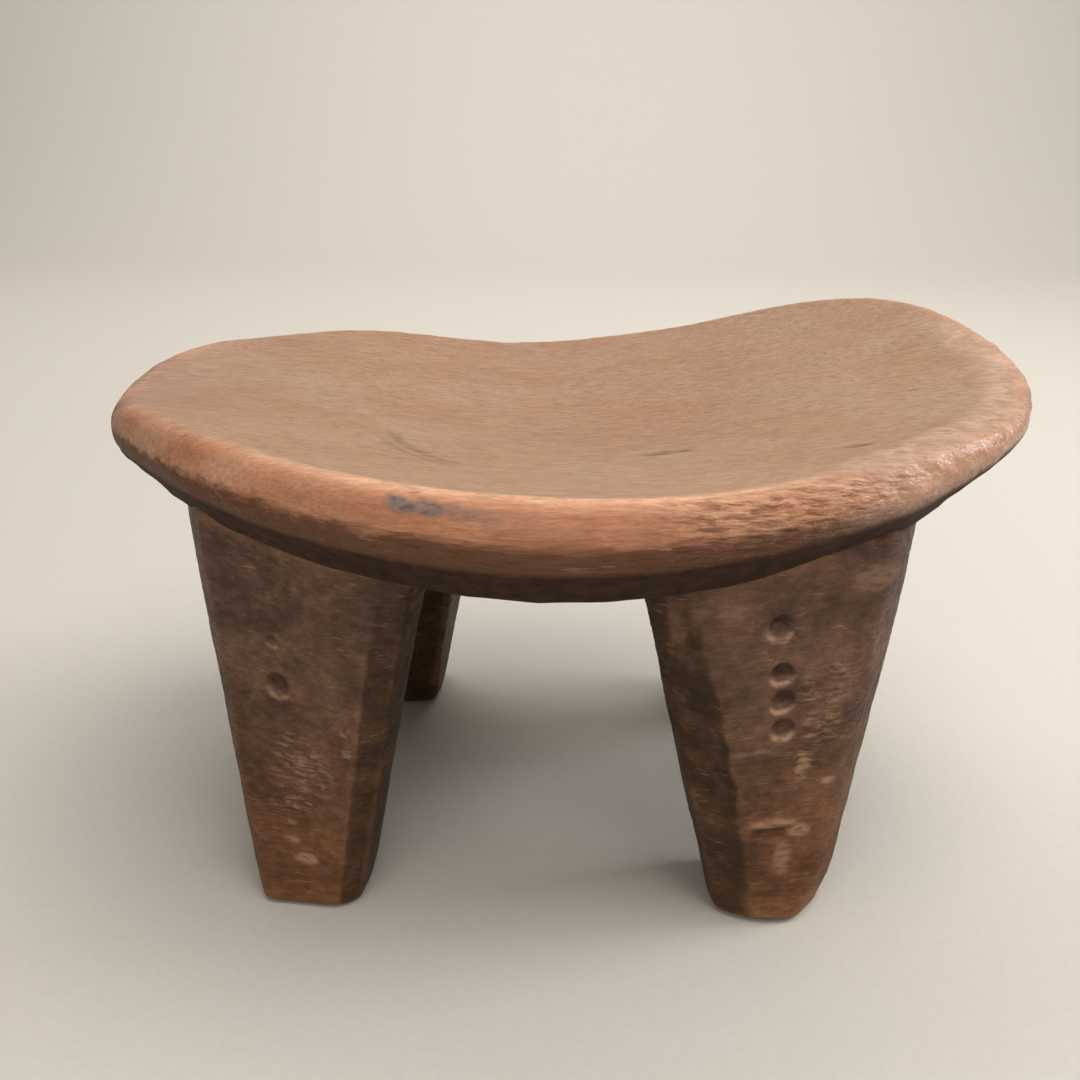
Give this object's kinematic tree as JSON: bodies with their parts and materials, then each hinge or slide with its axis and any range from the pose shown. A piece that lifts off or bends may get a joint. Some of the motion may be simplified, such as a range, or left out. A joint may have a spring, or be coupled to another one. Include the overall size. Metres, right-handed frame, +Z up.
{
  "type": "headrest",
  "caption": "Low carved wooden headrest or stool: an oval, saddle-shaped seat with a dished top on tapering faceted legs.",
  "frame": {"origin": "On the ground plane, under the middle of the seat's outline", "axes": "+X runs along the seat's length, +Y from front to back, +Z up"},
  "size_m": [0.33, 0.212, 0.1852],
  "materials": {
    "seat_wood": "hand-rubbed brown hardwood, worn paler along the crest, with grain along X",
    "leg_wood": "adzed brown hardwood, greyer and duller than the seat, warmer towards the feet"
  },
  "bodies": {
    "root": {"seat": "seat_wood", "leg_front_left": "leg_wood", "leg_front_right": "leg_wood", "leg_rear_left": "leg_wood", "leg_rear_right": "leg_wood"}
  },
  "joints": []
}
